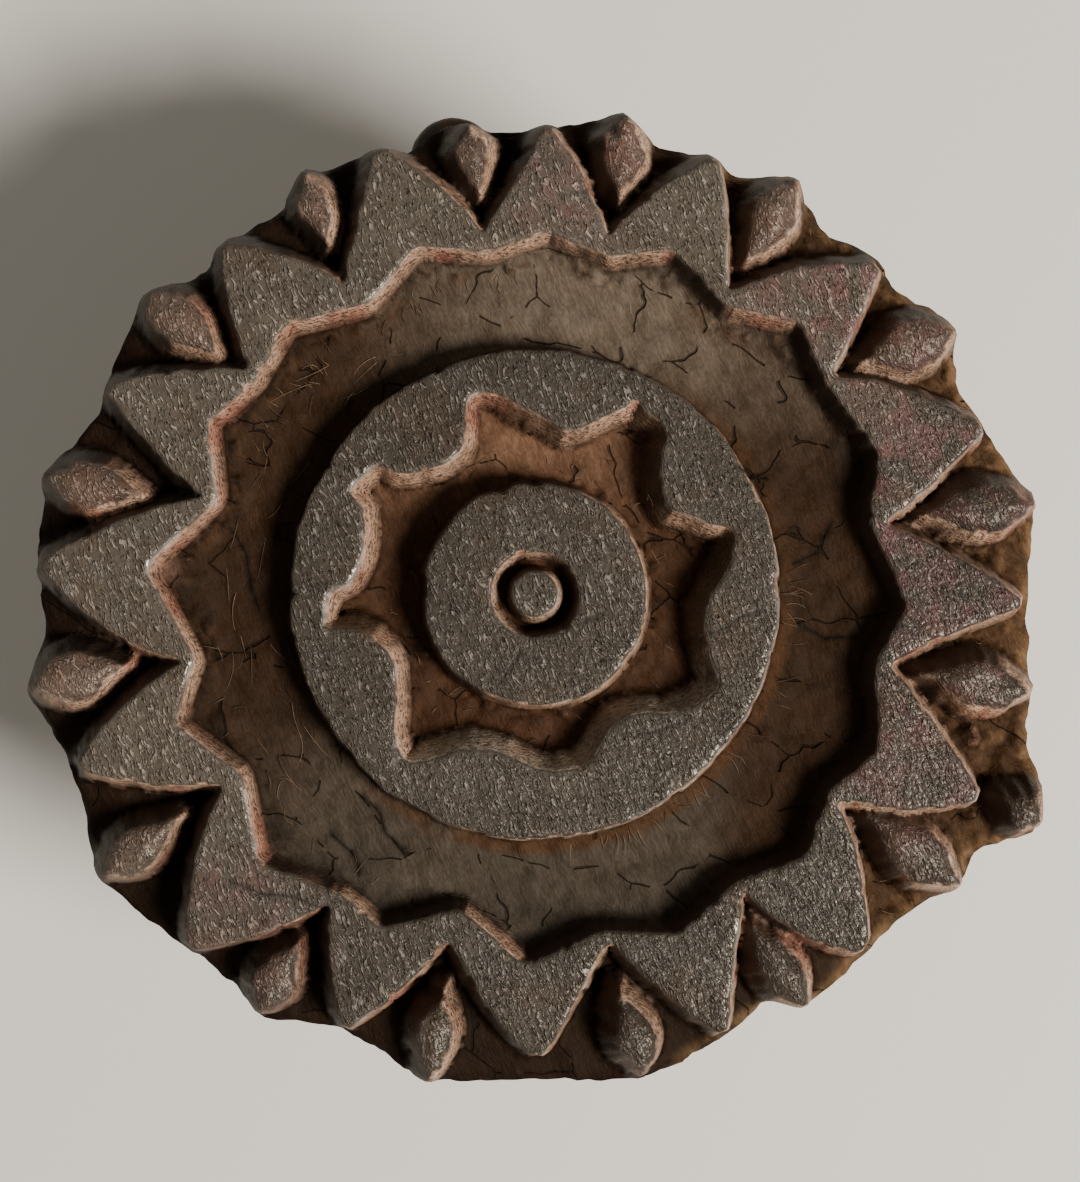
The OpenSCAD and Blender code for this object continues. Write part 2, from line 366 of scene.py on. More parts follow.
def surface(p):
    """Height of the carved face below its top plane, and what lies at each point."""
    x, y = p[:, 0], p[:, 1]
    r = np.hypot(x, y)
    g, c = along_grain(x, y)
    d = {}
    for name, field in OUTLINES.items():
        d[name], d["n_" + name] = field(p)
        d[name] = d[name] + wobble(x, y, len(name) * 3 + 11) * (0.5 if name == "dot" else 1)
    d["leaf"], d["n_leaf"] = leaf_field(p)
    d["leaf"] = d["leaf"] + wobble(x, y, 91)
    d["rim"], _ = rim(p)
    worn = 0.06 + 0.04 * noise2(x, y, 4, 3)
    rough = fbm2(x, y, 3.2, 31)
    gouge = noise2(g * 0.35, c, 1.6, 37)
    valley = VALLEY + 0.35 - 0.5 * ((r - 29.4) / 4.6) ** 2 + 0.28 * rough + 0.1 * gouge
    crumbs = np.maximum(noise2(x, y, 1.0, 55), 0) * np.exp(-((d["land"] - 1.2) / 1.2) ** 2)
    starf = STAR + 0.3 * fbm2(x, y, 2.2, 41) + 0.12 * gouge - 0.9 * crumbs
    crumbs = np.maximum(noise2(x, y, 0.9, 57), 0) * np.exp(-((d["zigzag"] - 1.9) / 0.9) ** 2)
    valley = valley - 0.8 * crumbs * step(y + 0.7 * np.abs(x + 6), -2, 20) * (x < 26)
    gap = RIM_GAP + 0.4 * fbm2(x, y, 4, 43) + 0.15 * gouge + 0.7 * step(d["rim"], -5, 0)
    splinters = 0.9 * noise2(x, y, 1.5, 44) + 0.5 * noise2(x, y, 0.8, 46)
    gap = gap - step(x + 0.3 * y, 12, 34) * splinters
    groovef = GROOVE + 0.3 * noise2(x, y, 1.2, 47)
    dome = 0.25 + 0.35 * noise2(x, y, 3.0, 53) + 0.5 * step(d["leaf"], -1.6, 0.2)

    def cut(name, *how):
        return carve(d[name], d["n_" + name], *how)

    def lit_side(closer, a, b):
        """How far the wall faces the light; it is the wall of a where closer is true."""
        return np.where(closer, d["n_" + a] @ LIT, d["n_" + b] @ LIT)

    h_petal = cut("petal", gap, 0.19, worn, 1.0, 0.08)
    h_leaf = cut("leaf", gap - LEAF_DROP, 0.24, worn + 0.2, 1.0, 0.10)
    h_out = np.maximum(h_petal, -LEAF_DROP - dome + h_leaf)
    h_val = np.maximum(cut("zigzag", valley, 0.20, worn, 0.7),
                       cut("ring", valley, 0.09, worn * 0.8, 1.3))
    h_star = np.maximum(cut("star", starf, 0.31, worn, 0.8, 0.09),
                        cut("land", starf, 0.10, worn * 0.9, 1.2))
    h_dot = np.maximum(cut("groove", groovef, 0.16, worn, 0.8),
                       cut("dot", groovef, 0.12, worn * 0.8, 0.8))
    leaf_side = cut("leaf", gap, 0.21, worn, 1.0, 0.08) - LEAF_DROP > h_petal
    facing = lit_side(leaf_side, "leaf", "petal")
    in_valley = (d["zigzag"] > -1.2) & (r > RING_ZONE)
    facing = np.where(in_valley, lit_side(d["zigzag"] < d["ring"], "zigzag", "ring"), facing)
    facing = np.where(r < RING_ZONE, lit_side(d["star"] < d["land"], "star", "land"), facing)
    facing = np.where(r < LAND_ZONE, lit_side(d["groove"] < d["dot"], "groove", "dot"), facing)
    d["facing"] = facing
    d["on_leaf"] = leaf_side & (d["petal"] > -0.8)
    h = np.where(d["petal"] > -2.5, h_out, 0.0)
    h = np.minimum(h, np.where(d["zigzag"] > -3, h_val, 0.0))
    h = np.where(r < RING_ZONE, np.minimum(0.0, h_star), h)
    h = np.where(r < LAND_ZONE, h_dot, h)
    # hewn, lumpy flanks
    flank = step(-h, 0.8, 1.8) * (1 - step(-h, 6.2, 7.4))
    lump = 0.30 * noise2(x, y, 1.4, 63) + 0.18 * noise2(x, y, 0.75, 65)
    h = h + flank * lump * np.where((d["petal"] > -0.6) | (r > RIM_ZONE), 1.5, 0.6)
    # hairline cracks
    d["crack"] = np.min([np.abs(line(p)[0]) for line in cracks], axis=0)
    h = h - 0.03 * np.exp(-(d["crack"] / 0.13) ** 2)
    # the face itself is not quite flat
    h = h + 0.07 * noise2(x, y, 14, 5) + 0.025 * noise2(g * 0.3, c, 0.9, 6) * step(-h, 1.0, 0.0)
    # broken outer edge
    h = h - 0.5 * step(d["rim"], -0.7, 0.0) * (1 + 0.8 * noise2(x, y, 1.7, 61))
    d["h"], d["r"] = h, r
    return h, d


# ---- points of the carved face
LINE_GAP = 0.28                  # spacing along an edge, mm
FLAT_GAP = 0.56                  # spacing on flats, mm
SIDE_GAP = 0.62                  # spacing round the rim, mm
REACH = 57                       # radius that holds the whole face, mm


def edge_points(field, offsets, gap, band):
    """Points that lie on lines parallel to an edge."""
    grid = hex_grid(REACH, gap * 0.9)
    d, n = field(grid)
    found, wanted = [], []
    for offset in offsets:
        near = np.abs(d - offset) < band
        found.append(grid[near] - n[near] * (d[near] - offset)[:, None])
        wanted.append(np.full(len(found[-1]), offset))
    q, t = np.concatenate(found), np.concatenate(wanted)
    d2, n2 = field(q)
    keep = np.abs(d2 - t) < 0.08
    return (q - n2 * (d2 - t)[:, None])[keep]


def resample(loop, gap):
    """A closed outline with its points at an even spacing."""
    nxt = np.roll(loop, -1, axis=0)
    length = np.hypot(*(nxt - loop).T)
    s = np.concatenate([[0], np.cumsum(length)])
    n = int(s[-1] / gap)
    at = np.arange(n) * s[-1] / n
    closed = np.concatenate([loop, loop[:1]])
    return np.stack([np.interp(at, s, closed[:, 0]), np.interp(at, s, closed[:, 1])], 1)


def face_mesh():
    """Triangles of the carved face in plan, dense along edges and cracks, wider on the flats."""
    rim_pts = resample(rim_line, SIDE_GAP)
    rim_pts = rim_pts * (1 + 0.0035 * noise2(rim_pts[:, 0], rim_pts[:, 1], 1.1, 71)[:, None]
                         + 0.004 * noise2(rim_pts[:, 0], rim_pts[:, 1], 3.1, 72)[:, None])
    boundary = Outline(rim_pts)
    near = 0.6 * LINE_GAP
    wall = (-0.15, 0.03, 0.25, 0.55, -0.45, 0.95, 1.4, 1.95)
    short = (-0.14, 0.03, 0.22, 0.5, -0.4, 0.85, 1.3)
    leaf = (-0.15, 0.05, 0.3, -0.5, 0.65, 1.1, 1.6, -0.9, 2.2)
    lines = [edge_points(f, o, LINE_GAP, 0.2) for f, o in (
        (petal, wall), (zigzag, wall), (star, wall), (ring, short), (land, short),
        (groove, short), (dot, short), (leaf_field, leaf))]
    lines = [edge_points(c, (0.0, 0.16), 0.2, 0.2) for c in cracks] + lines
    pts = np.concatenate(lines)
    flats = hex_grid(REACH, FLAT_GAP)
    radii = np.concatenate([np.full(len(pts), near), np.full(len(flats), FLAT_GAP * 0.72)])
    pts = np.concatenate([pts, flats])
    d, _ = boundary(pts)
    keep = d < -0.25
    pts, radii = pts[keep], radii[keep]
    alive = thin_out(pts, radii)
    pts = np.concatenate([rim_pts, pts[alive]])
    n = len(rim_pts)
    edges = [(i, (i + 1) % n) for i in range(n)]
    out = delaunay_2d_cdt([Vector(map(float, q)) for q in pts], edges, [], 0, 1e-5)
    co = np.array([tuple(v) for v in out[0]])
    tris = np.array([f for f in out[2] if len(f) == 3])
    middle, _ = boundary(co[tris].mean(1))
    return co, tris[middle < 0]


def boundary_loop(tris):
    """The open border of a sheet of triangles, in order."""
    nxt = dict(open_edges(tris))
    start = min(nxt)
    path, here = [start], nxt[start]
    while here != start:
        path.append(here)
        here = nxt[here]
    return path


def make_disc():
    """The whole disc as one closed mesh: carved face, rim, tapered body, boss and blind socket."""
    co2, tris = face_mesh()
    h, d = surface(co2)
    # triangles face up
    a, b, c = co2[tris[:, 0]], co2[tris[:, 1]], co2[tris[:, 2]]
    up = (b[:, 0] - a[:, 0]) * (c[:, 1] - a[:, 1]) - (b[:, 1] - a[:, 1]) * (c[:, 0] - a[:, 0])
    tris[up < 0] = tris[up < 0][:, ::-1]
    loop = boundary_loop(tris)
    top = np.column_stack([co2, FACE_Z + h])
    edge = top[loop]
    ang = np.arctan2(edge[:, 1], edge[:, 0])
    er = np.hypot(edge[:, 0], edge[:, 1])
    rows = []

    def row(radius, z):
        rows.append(np.column_stack([np.cos(ang) * radius, np.sin(ang) * radius, z]))

    n = len(loop)
    low = FACE_Z - PLATE
    for t in np.arange(1, 9) / 8:  # hewn side of the rim plate
        z = edge[:, 2] * (1 - t) + low * t
        torn = 0.28 * noise2(ang * 50 * 0.9, z * 0.6, 1.0, 81)
        torn = torn + 0.25 * noise2(ang * 50, z * 0.3, 4, 82)
        radius = er - 0.9 * t ** 3 + torn * min(1, 4 * t * (1 - t) + 0.3)
        row(radius, z)
    hew = 0.5 * noise2(ang * 6.5, ang * 0, 1.0, 83)
    # radius, and height from the underside of the plate, mm: the body, the boss and the socket
    profile = [(46.2, -0.15), (44.9, -0.5), (44.3, -1.2), (43.6, -2.4), (42.9, -3.8), (42.2, -5.2),
               (41.5, -6.6), (40.7, -8.0), (39.9, -9.4), (39.0, -10.7), (37.9, -11.6),
               (36.4, -11.95), (33.0, -12.0), (29.0, -12.05), (25.0, -12.1), (21.5, -12.15),
               (19.6, -12.5), (19.1, -13.0)]
    profile += [(19.0, -13.5 - 0.4 * k) for k in range(16)]
    profile += [(18.9, -20.2), (18.4, -20.8), (17.6, -21.0), (15.0, -21.0), (11.0, -21.0),
                (8.3, -21.0), (8.02, -20.7), (8.02, -17.0), (8.02, -11.0), (8.02, -1.5)]
    for radius, dz in profile:
        z = np.full(n, low + dz)
        rr = np.full(n, radius)
        if radius > 19.7:
            rr = rr + hew * min(1.0, (radius - 19.7) / 12) + 0.08 * noise2(ang * 40, z, 1.5, 84)
            z = z + 0.06 * noise2(ang * 30, rr, 2.0, 85)
        elif radius == 19.0:       # the boss, with a worn mouth round each end of the peg
            off = np.hypot(np.sin(ang) * radius, low + dz - PEG_Z)
            mouth = np.exp(-((off - PEG_R - 0.2) / 0.28) ** 2)
            rr = rr - 0.22 * mouth + 0.05 * noise2(ang * 19, z, 1.6, 86)
        row(rr, z)
    verts = np.concatenate([top] + rows + [np.array([[0, 0, low - 1.4]])])
    faces = [tuple(map(int, t)) for t in tris]
    first = len(top)
    ring_ids = [np.array(loop)] + [first + k * n + np.arange(n) for k in range(len(rows))]
    for u, v in zip(ring_ids[:-1], ring_ids[1:]):
        u2, v2 = np.roll(u, -1), np.roll(v, -1)
        faces += [(int(p), int(s), int(t), int(q)) for p, q, s, t in zip(u, u2, v, v2)]
    last, tip = ring_ids[-1], len(verts) - 1
    faces += [(int(last[k]), tip, int(last[(k + 1) % n])) for k in range(n)]
    return verts, faces, d, len(top)


def make_fibres():
    """Loose wood fibres: thin tapering hairs that lie on the carving, lifted in the middle."""
    steps, around = 7, 3
    lines = []
    # radius and angle from and to, way they point, how many, length from and to
    for r0, r1, a0, a1, mode, count, l0, l1 in (
            (24.8, 26.2, -82, 12, "out", 44, 1.6, 3.6),
            (26.5, 32.0, 120, 212, "round", 26, 2.5, 6.0),
            (30.5, 33.0, 92, 165, "out", 46, 1.2, 2.8),
            (12.2, 16.5, 0, 360, "any", 60, 1.0, 2.4),
            (43.0, 48.0, -58, 55, "any", 80, 0.8, 2.4),
            (31.5, 35.0, 185, 262, "any", 22, 1.2, 3.0)):
        for _ in range(count):
            r, a = RNG.uniform(r0, r1), math.radians(RNG.uniform(a0, a1))
            lean = {"out": a, "round": a + math.pi / 2, "any": RNG.uniform(0, 2 * math.pi)}[mode]
            head, bend, size = lean + RNG.normal(0, 0.30), RNG.normal(0, 0.9), RNG.uniform(l0, l1)
            x, y = r * math.cos(a), r * math.sin(a)
            line = [(x, y)]
            for k in range(steps - 1):
                turn = head + bend * k / steps
                x, y = x + size / steps * math.cos(turn), y + size / steps * math.sin(turn)
                line.append((x, y))
            lines.append(line)
    flat = np.array(lines).reshape(-1, 2)
    height = surface(flat)[0].reshape(-1, steps)
    verts, faces = [], []
    spin = spread(around)
    for line, z in zip(lines, height):
        lift = RNG.uniform(0.03, 0.25)
        line = np.array(line)
        if z.max() - z.min() > 1.1 or rim(line)[0].max() > -0.6:
            continue
        way = np.gradient(line, axis=0)
        way /= np.hypot(way[:, 0], way[:, 1])[:, None]
        s = np.linspace(0, 1, steps)
        zz = FACE_Z + z.max() - 0.06 + lift * np.sin(math.pi * s) ** 0.8
        zz = np.where(s < 0.1, FACE_Z + z - 0.08, zz)
        zz[-1] = FACE_Z + z[-1] - 0.02
        base = len(verts)
        for k in range(steps):
            thick = 0.048 * (1 - 0.6 * s[k])
            for t in spin:
                side = math.cos(t) * thick
                verts.append((line[k, 0] - way[k, 1] * side, line[k, 1] + way[k, 0] * side,
                              zz[k] + math.sin(t) * thick))
        for k in range(steps - 1):
            for i in range(around):
                a, b = base + k * around + i, base + k * around + (i + 1) % around
                faces.append((a, a + around, b + around, b))
        faces.append((base, base + 1, base + 2))
        end = base + (steps - 1) * around
        faces.append((end + 2, end + 1, end))
    return np.array(verts), faces


def place(name, data):
    obj = bpy.data.objects.new(name, data)
    bpy.context.scene.collection.objects.link(obj)
    return obj


def new_mesh(name, verts_mm, faces, material, body):
    me = bpy.data.meshes.new(name)
    me.from_pydata((np.asarray(verts_mm) * MM).tolist(), [], faces)
    me.validate()
    me.update()
    for p in me.polygons:
        p.use_smooth = True
    obj = place(name, me)
    me.materials.append(material)
    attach(obj, body)
    return obj


# ---- colours
def lin(r, g, b):
    """sRGB 0..255 to linear."""
    out = []
    for v in (r, g, b):
        v = v / 255
        out.append(v / 12.92 if v <= 0.04045 else ((v + 0.055) / 1.055) ** 2.4)
    return np.array(out)


TOP = lin(52, 47, 41)
TOP_PURPLE = lin(72, 46, 46)
# pale cut wood of the walls, used only where a wall faces the light
WALL_LIT = lin(180, 146, 122)
WALL_RED = lin(158, 98, 82)
# painted shade: walls that face away from the light, walls near a floor, the lower-left outer walls
# and the left of the plate's side; also random darker patches on the lit walls
WALL_DARK_AND_SHADE = lin(42, 28, 19)
# painted light: pale colour for the star's bottom walls, which face away from the light
STAR_WALL_PAINTED_LIGHT = lin(134, 124, 110)
# valley floor at the sides, darker partly as painted shade
FLOOR_SIDE = lin(43, 29, 18)
FLOOR_LOW = lin(60, 53, 45)
FLOOR_TOP = lin(86, 76, 65)
FLOOR_STAR = lin(55, 36, 23)
FLOOR_GAP_SHADED = lin(30, 19, 11)
RESIDUE = lin(66, 46, 31)
RING_FOOT = lin(62, 41, 24)
TORN = lin(132, 104, 74)
BACK = lin(72, 51, 36)


def region(x, y, cx, cy, radius, soft=0.6):
    return 1 - step(np.hypot(x - cx, y - cy), radius * soft, radius)


def paint_face(p, d):
    x, y, h, r = p[:, 0], p[:, 1], d["h"], d["r"]
    theta = np.degrees(np.arctan2(y, x))
    depth = np.where(r < 4.6, GROOVE, np.where(r < RING_ZONE, STAR, VALLEY))
    out = (d["petal"] > -0.6) | (r > RIM_ZONE)
    depth = np.where(out, RIM_GAP, depth)
    down = -h - np.where(d["on_leaf"], LEAF_DROP + 0.95, 0.0)
    top = 1 - step(down, 0.12, 0.50)
    floor = step(-h, depth - 1.7, depth - 0.8)
    wall = np.clip(1 - top - floor, 0, 1)
    big = fbm2(x, y, 9, 101)
    small = fbm2(x, y, 1.6, 103)
    # tops
    purple = np.clip(region(x, y, 44, 6, 19) + 0.9 * region(x, y, 40, -17, 11)
                     + 0.8 * region(x, y, 33, 30, 13) + 0.4 * region(x, y, -30, -36, 12)
                     + 0.5 * region(x, y, 4, 43, 10), 0, 1)
    t_top = mix(TOP, TOP_PURPLE, purple * np.clip(0.35 + 0.9 * small, 0, 1))
    outer = step(r, 27, 31) * step(y - 0.8 * x, -34, 14)
    dull = step(x - 0.6 * y, 14, 36)
    t_top = t_top * (1 + 0.20 * big + 0.14 * small + 0.75 * outer - 0.25 * dull)[:, None]
    brown = step(fbm2(x, y, 5, 105), 0.1, 0.6)
    t_top = mix(t_top, lin(60, 42, 30), 0.3 * brown)
    pink_leaf = d["on_leaf"] * (0.1 + 0.35 * step(y - 0.7 * x, -12, 22)) * (0.7 + 0.6 * small)
    t_top = mix(t_top, lin(96, 68, 57), pink_leaf)
    # walls, painted light and shade: pale where they face the light, dark brown where they face
    # away
    redness = step(fbm2(x, y, 4.5, 107), 0.0, 0.55)
    pale = mix(WALL_LIT, WALL_RED, 0.7 * redness)
    pale = mix(pale, WALL_DARK_AND_SHADE, 0.45 * step(small, 0.1, 0.6))
    in_pocket = 1.0 * ((r > 12) & (r < RING_ZONE))
    # star walls that face away from the light: painted light on the bottom lobes, dark brown
    # painted shade on the right lobes
    star_wall = mix(lin(74, 57, 43), STAR_WALL_PAINTED_LIGHT, step(-y, 3, 12))
    star_wall = star_wall * (1 + 0.5 * small + 0.35 * big)[:, None]
    shade = mix(WALL_DARK_AND_SHADE, star_wall, in_pocket)
    lit = step(d["facing"] + 0.25 * small, -0.25, 0.45)
    t_wall = mix(shade, pale, lit)
    # painted shade on the outer walls at the lower left
    low_left_shade = np.clip(region(x, y, -34, -40, 20) + 0.5 * region(x, y, 0, -52, 18), 0, 1) * out
    t_wall = mix(t_wall, WALL_DARK_AND_SHADE, 0.6 * low_left_shade)
    # painted shade: walls darken towards the floor of each recess
    t_wall = mix(t_wall, WALL_DARK_AND_SHADE, 0.75 * step(-h, depth - 3.4, depth - 1.0))
    # floors: darker at the sides, partly as painted shade; paler below and above
    below = step(-y, 8, 21) * step(x, -36, -18) * (1 - step(x, 14, 24))
    above = step(y, 10, 25) * step(x, -22, -2) * (1 - 0.45 * step(x, 6, 24))
    t_floor = mix(mix(FLOOR_SIDE, FLOOR_LOW, below), FLOOR_TOP, above)
    in_star = (d["star"] > -1.5) & (r < 23)
    t_star = mix(FLOOR_STAR, lin(90, 66, 50), step(y, 5, 14))
    t_floor = np.where(in_star[:, None], t_star, t_floor)
    # the deep gaps round the petals and leaves: dark brown wood with painted shade
    t_floor[out] = FLOOR_GAP_SHADED
    torn_gap = out * step(x + 0.3 * y, 12, 34)
    t_floor = mix(t_floor, lin(64, 46, 31), 0.8 * torn_gap)
    t_floor = t_floor * (1 + 0.25 * big + 0.2 * small)[:, None]
    # crumbly residue along the foot of walls
    crumb = step(fbm2(x, y, 1.3, 111, 3, 0.6), -0.15, 0.35)
    foot_out = np.exp(-((d["zigzag"] - 2.1) / 0.8) ** 2)
    foot_out = foot_out * step(y + 0.7 * np.abs(x + 6), -2, 20) * (x < 26)
    foot_star = np.exp(-((d["land"] - 1.3) / 1.1) ** 2) * in_star
    crumbs = 0.6 * crumb * foot_out + 0.45 * crumb * foot_star
    t_floor = mix(t_floor, RESIDUE, np.clip(crumbs, 0, 1))
    chaff = step(fbm2(x, y, 1.0, 119, 2, 0.8), 0.05, 0.6) * torn_gap
    t_floor = mix(t_floor, TORN, 0.22 * chaff)
    band = np.exp(-((d["ring"] - 1.2) / 0.75) ** 4) * (r > 22) * (d["ring"] > 0.15)
    band = band * step(x - 0.9 * y, -14, 18) * step(fbm2(theta * 0.4, r, 5, 113), -0.7, -0.1)
    t_floor = mix(t_floor, RING_FOOT, 0.85 * band)
    tone = t_top * top[:, None] + t_wall * wall[:, None] + t_floor * floor[:, None]
    # painted highlight: a paler rim on every top edge that faces the light
    edge_highlight = step(down, 0.10, 0.30) * (1 - step(down, 0.55, 1.1)) * step(d["facing"], -0.4, 0.5)
    edge_highlight = edge_highlight * step(noise2(x, y, 1.8, 115), -0.6, 0.4)
    tone = mix(tone, lin(196, 168, 146), 0.55 * edge_highlight)
    split = np.exp(-(d["crack"] / 0.20) ** 2)
    tone = mix(tone, lin(8, 5, 3), 0.95 * split)
    # a dark line where a wall meets the floor: painted shade in the crease
    foot = step(-h, depth - 1.3, depth - 0.7) * (1 - step(-h, depth - 0.5, depth - 0.1)) * (r > 7)
    tone = mix(tone, lin(14, 8, 4), 0.6 * foot * step(small, -0.6, 0.2))
    # torn, pale outer edge on the right
    torn = step(d["rim"], -1.6, -0.2) * step(x, 8, 26) * (1 - top) * step(small, -0.5, 0.3)
    tone = mix(tone, TORN, 0.55 * torn)
    # a narrow smooth band along each top edge, kept only where it faces the light; it shines, and
    # it also carries a painted highlight in the base colour
    edge = np.min([np.abs(d[k]) for k in (*OUTLINES, "leaf")], axis=0)
    crisp = (1 - step(edge, 0.10, 0.42)) * (1 - step(down, 0.3, 0.9))
    ring_edge = np.exp(-(d["ring"] / 0.5) ** 2)
    gaps = np.maximum(step(noise2(x, y, 2.6, 131), -0.35, 0.45), 0.9 * ring_edge)
    shine = crisp * step(d["facing"], 0.35, 0.95) * gaps * (1 - 0.7 * d["on_leaf"])
    leaf = 1.0 * d["on_leaf"]
    top_kind = top * (1 - 0.2 * leaf) * (1 - 0.8 * crisp) * (1 - 0.9 * split)
    wall_kind = wall * np.maximum(0.25 + 0.75 * lit, 0.6 * in_pocket) + 0.2 * leaf * top
    kind = np.stack([top_kind, wall_kind, floor], 1)
    return tone, kind, np.stack([shine, 0 * shine, 0 * shine], 1)


def paint_side(v):
    x, y, z = v[:, 0], v[:, 1], v[:, 2]
    ang = np.arctan2(y, x)
    low = FACE_Z - PLATE
    n1 = fbm2(ang * 40, z, 4, 121)
    n2 = noise2(ang * 60, z * 0.35, 1.0, 122)
    tone = BACK * (1 + 0.25 * n1 + 0.15 * n2)[:, None]
    plate = step(z, low - 0.5, low + 0.5)
    off = np.hypot(y, z - PEG_Z)
    mouth = np.exp(-((off - PEG_R - 0.2) / 0.35) ** 2) * (np.hypot(x, y) > 15) * (z < low - 12)
    tone = mix(tone, lin(20, 12, 7), 0.85 * mouth)
    right = step(x, 4, 24)
    tone = mix(tone, TORN, 0.75 * plate * right * step(n1 + 0.5 * n2, -0.5, 0.3))
    # painted shade on the left of the plate's side, away from the light
    tone = mix(tone, WALL_DARK_AND_SHADE, 0.6 * plate * (1 - right))
    kind = np.stack([np.zeros(len(x)), 0.2 + 0.6 * plate, 0.15 * (1 - plate)], 1)
    return tone, kind


def set_colours(obj, name, rgb):
    me = obj.data
    attr = me.color_attributes.new(name, "FLOAT_COLOR", "POINT")
    data = np.ones((len(me.vertices), 4), np.float32)
    data[:, :3] = np.clip(rgb, 0, 1)
    attr.data.foreach_set("color", data.ravel())


# ---- materials
class Nodes:
    """Short names for building a node tree."""

    def __init__(self, name):
        self.mat = bpy.data.materials.new(name)
        self.mat.use_nodes = True
        self.tree = self.mat.node_tree
        self.tree.nodes.clear()
        self.out = self.tree.nodes.new("ShaderNodeOutputMaterial")
        self.bsdf = self.tree.nodes.new("ShaderNodeBsdfPrincipled")
        self.link(self.bsdf.outputs[0], self.out.inputs[0])

    def link(self, a, b):
        self.tree.links.new(a, b)

    def put(self, socket, value):
        if isinstance(value, bpy.types.NodeSocket):
            self.link(value, socket)
        elif value is not None:
            socket.default_value = value

    def set(self, name, value):
        self.put(self.bsdf.inputs[name], value)

    def node(self, kind, **props):
        n = self.tree.nodes.new(kind)
        for k, v in props.items():
            setattr(n, k, v)
        return n

    def math(self, op, a, b=None, c=None, clamp=False):
        n = self.node("ShaderNodeMath", operation=op, use_clamp=clamp)
        for s, v in zip(n.inputs, (a, b, c)):
            self.put(s, v)
        return n.outputs[0]

    def mul(self, a, b):
        return self.math("MULTIPLY", a, b)

    def mad(self, a, b, c):
        """a times b, plus c."""
        return self.math("MULTIPLY_ADD", a, b, c)

    def rest(self, a):
        """1 - a."""
        return self.math("SUBTRACT", 1.0, a)

    def tint(self, a, b):
        """Two colours multiplied."""
        return self.mix(1.0, a, b, "MULTIPLY")

    def mix(self, f, a, b, blend="MIX"):
        n = self.node("ShaderNodeMix", data_type="RGBA", blend_type=blend)
        self.put(n.inputs[0], f)
        self.put(n.inputs[6], a)
        self.put(n.inputs[7], b)
        return n.outputs[2]

    def ramp(self, f, lo, hi, a=0.0, b=1.0):
        n = self.node("ShaderNodeMapRange", interpolation_type="SMOOTHSTEP")
        for s, v in zip(n.inputs, (f, lo, hi, a, b)):
            self.put(s, v)
        return n.outputs[0]

    def coords(self, rotation=(0, 0, 0), scale=(1, 1, 1)):
        """Object coordinates, turned and then scaled; scale is in features per mm."""
        tc = self.node("ShaderNodeTexCoord").outputs["Object"]
        turn = self.node("ShaderNodeMapping", vector_type="POINT")
        self.link(tc, turn.inputs[0])
        turn.inputs["Rotation"].default_value = rotation
        size = self.node("ShaderNodeMapping", vector_type="POINT")
        self.link(turn.outputs[0], size.inputs[0])
        size.inputs["Scale"].default_value = [1000 * s for s in scale]
        return size.outputs[0]

    def scaled(self, vec, scale):
        n = self.node("ShaderNodeVectorMath", operation="MULTIPLY")
        self.link(vec, n.inputs[0])
        n.inputs[1].default_value = scale
        return n.outputs[0]

    def warp(self, vec, scale, amount):
        """Bends coordinates with a noise so that lines waver."""
        n = self.node("ShaderNodeTexNoise")
        self.link(vec, n.inputs["Vector"])
        n.inputs["Scale"].default_value = scale
        n.inputs["Detail"].default_value = 1.0
        shift = self.node("ShaderNodeVectorMath", operation="SUBTRACT")
        self.link(n.outputs["Color"], shift.inputs[0])
        shift.inputs[1].default_value = (0.5, 0.5, 0.5)
        add = self.node("ShaderNodeVectorMath", operation="ADD")
        self.link(self.scaled(shift.outputs[0], (amount, amount, amount)), add.inputs[0])
        self.link(vec, add.inputs[1])
        return add.outputs[0]

    def noise(self, vec, scale=1.0, detail=2.0, rough=0.5, distort=0.0):
        n = self.node("ShaderNodeTexNoise")
        names = ("Vector", "Scale", "Detail", "Roughness", "Distortion")
        for name, value in zip(names, (vec, scale, detail, rough, distort)):
            self.put(n.inputs[name], value)
        return n.outputs["Fac"]

    def voronoi(self, vec, scale=1.0, feature="F1"):
        n = self.node("ShaderNodeTexVoronoi", feature=feature)
        self.link(vec, n.inputs["Vector"])
        n.inputs["Scale"].default_value = scale
        return n.outputs["Distance"]

    def bump(self, height):
        """Normal from a relief given in mm."""
        n = self.node("ShaderNodeBump")
        self.put(n.inputs["Height"], height)
        n.inputs["Distance"].default_value = MM
        n.inputs["Strength"].default_value = 1.0
        return n.outputs["Normal"]

    def attribute(self, name):
        return self.node("ShaderNodeAttribute", attribute_name=name).outputs["Color"]

    def split(self, colour):
        n = self.node("ShaderNodeSeparateColor")
        self.link(colour, n.inputs[0])
        return n.outputs


